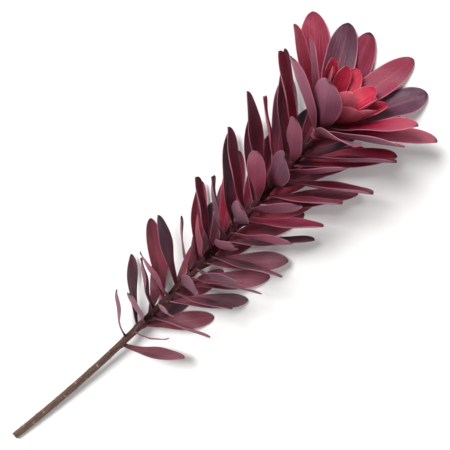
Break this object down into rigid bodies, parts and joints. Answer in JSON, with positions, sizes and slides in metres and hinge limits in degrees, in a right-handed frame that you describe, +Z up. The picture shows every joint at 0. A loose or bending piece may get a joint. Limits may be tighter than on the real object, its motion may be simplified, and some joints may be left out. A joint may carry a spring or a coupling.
{
  "type": "leucadendron stem",
  "caption": "Cut leucadendron stem lying down: a bare woody stem with a slanted cut, wine red leaves in a spiral, and a head of broad red bracts round a small cone.",
  "frame": {"origin": "on the surface that the stem lies on, under the centre of its box", "axes": "+Y along the stem from the cut end to the head, +Z up from the surface, +X to the side"},
  "size_m": [0.1378, 0.6118, 0.1178],
  "materials": {
    "leaf": "satin",
    "outer_bract": "satin",
    "inner_bract": "satin",
    "cone": "matte"
  },
  "bodies": {
    "root": {"leafy_stem": "leaf", "outer_bracts": "outer_bract", "inner_bracts": "inner_bract", "cone": "cone"}
  },
  "joints": []
}
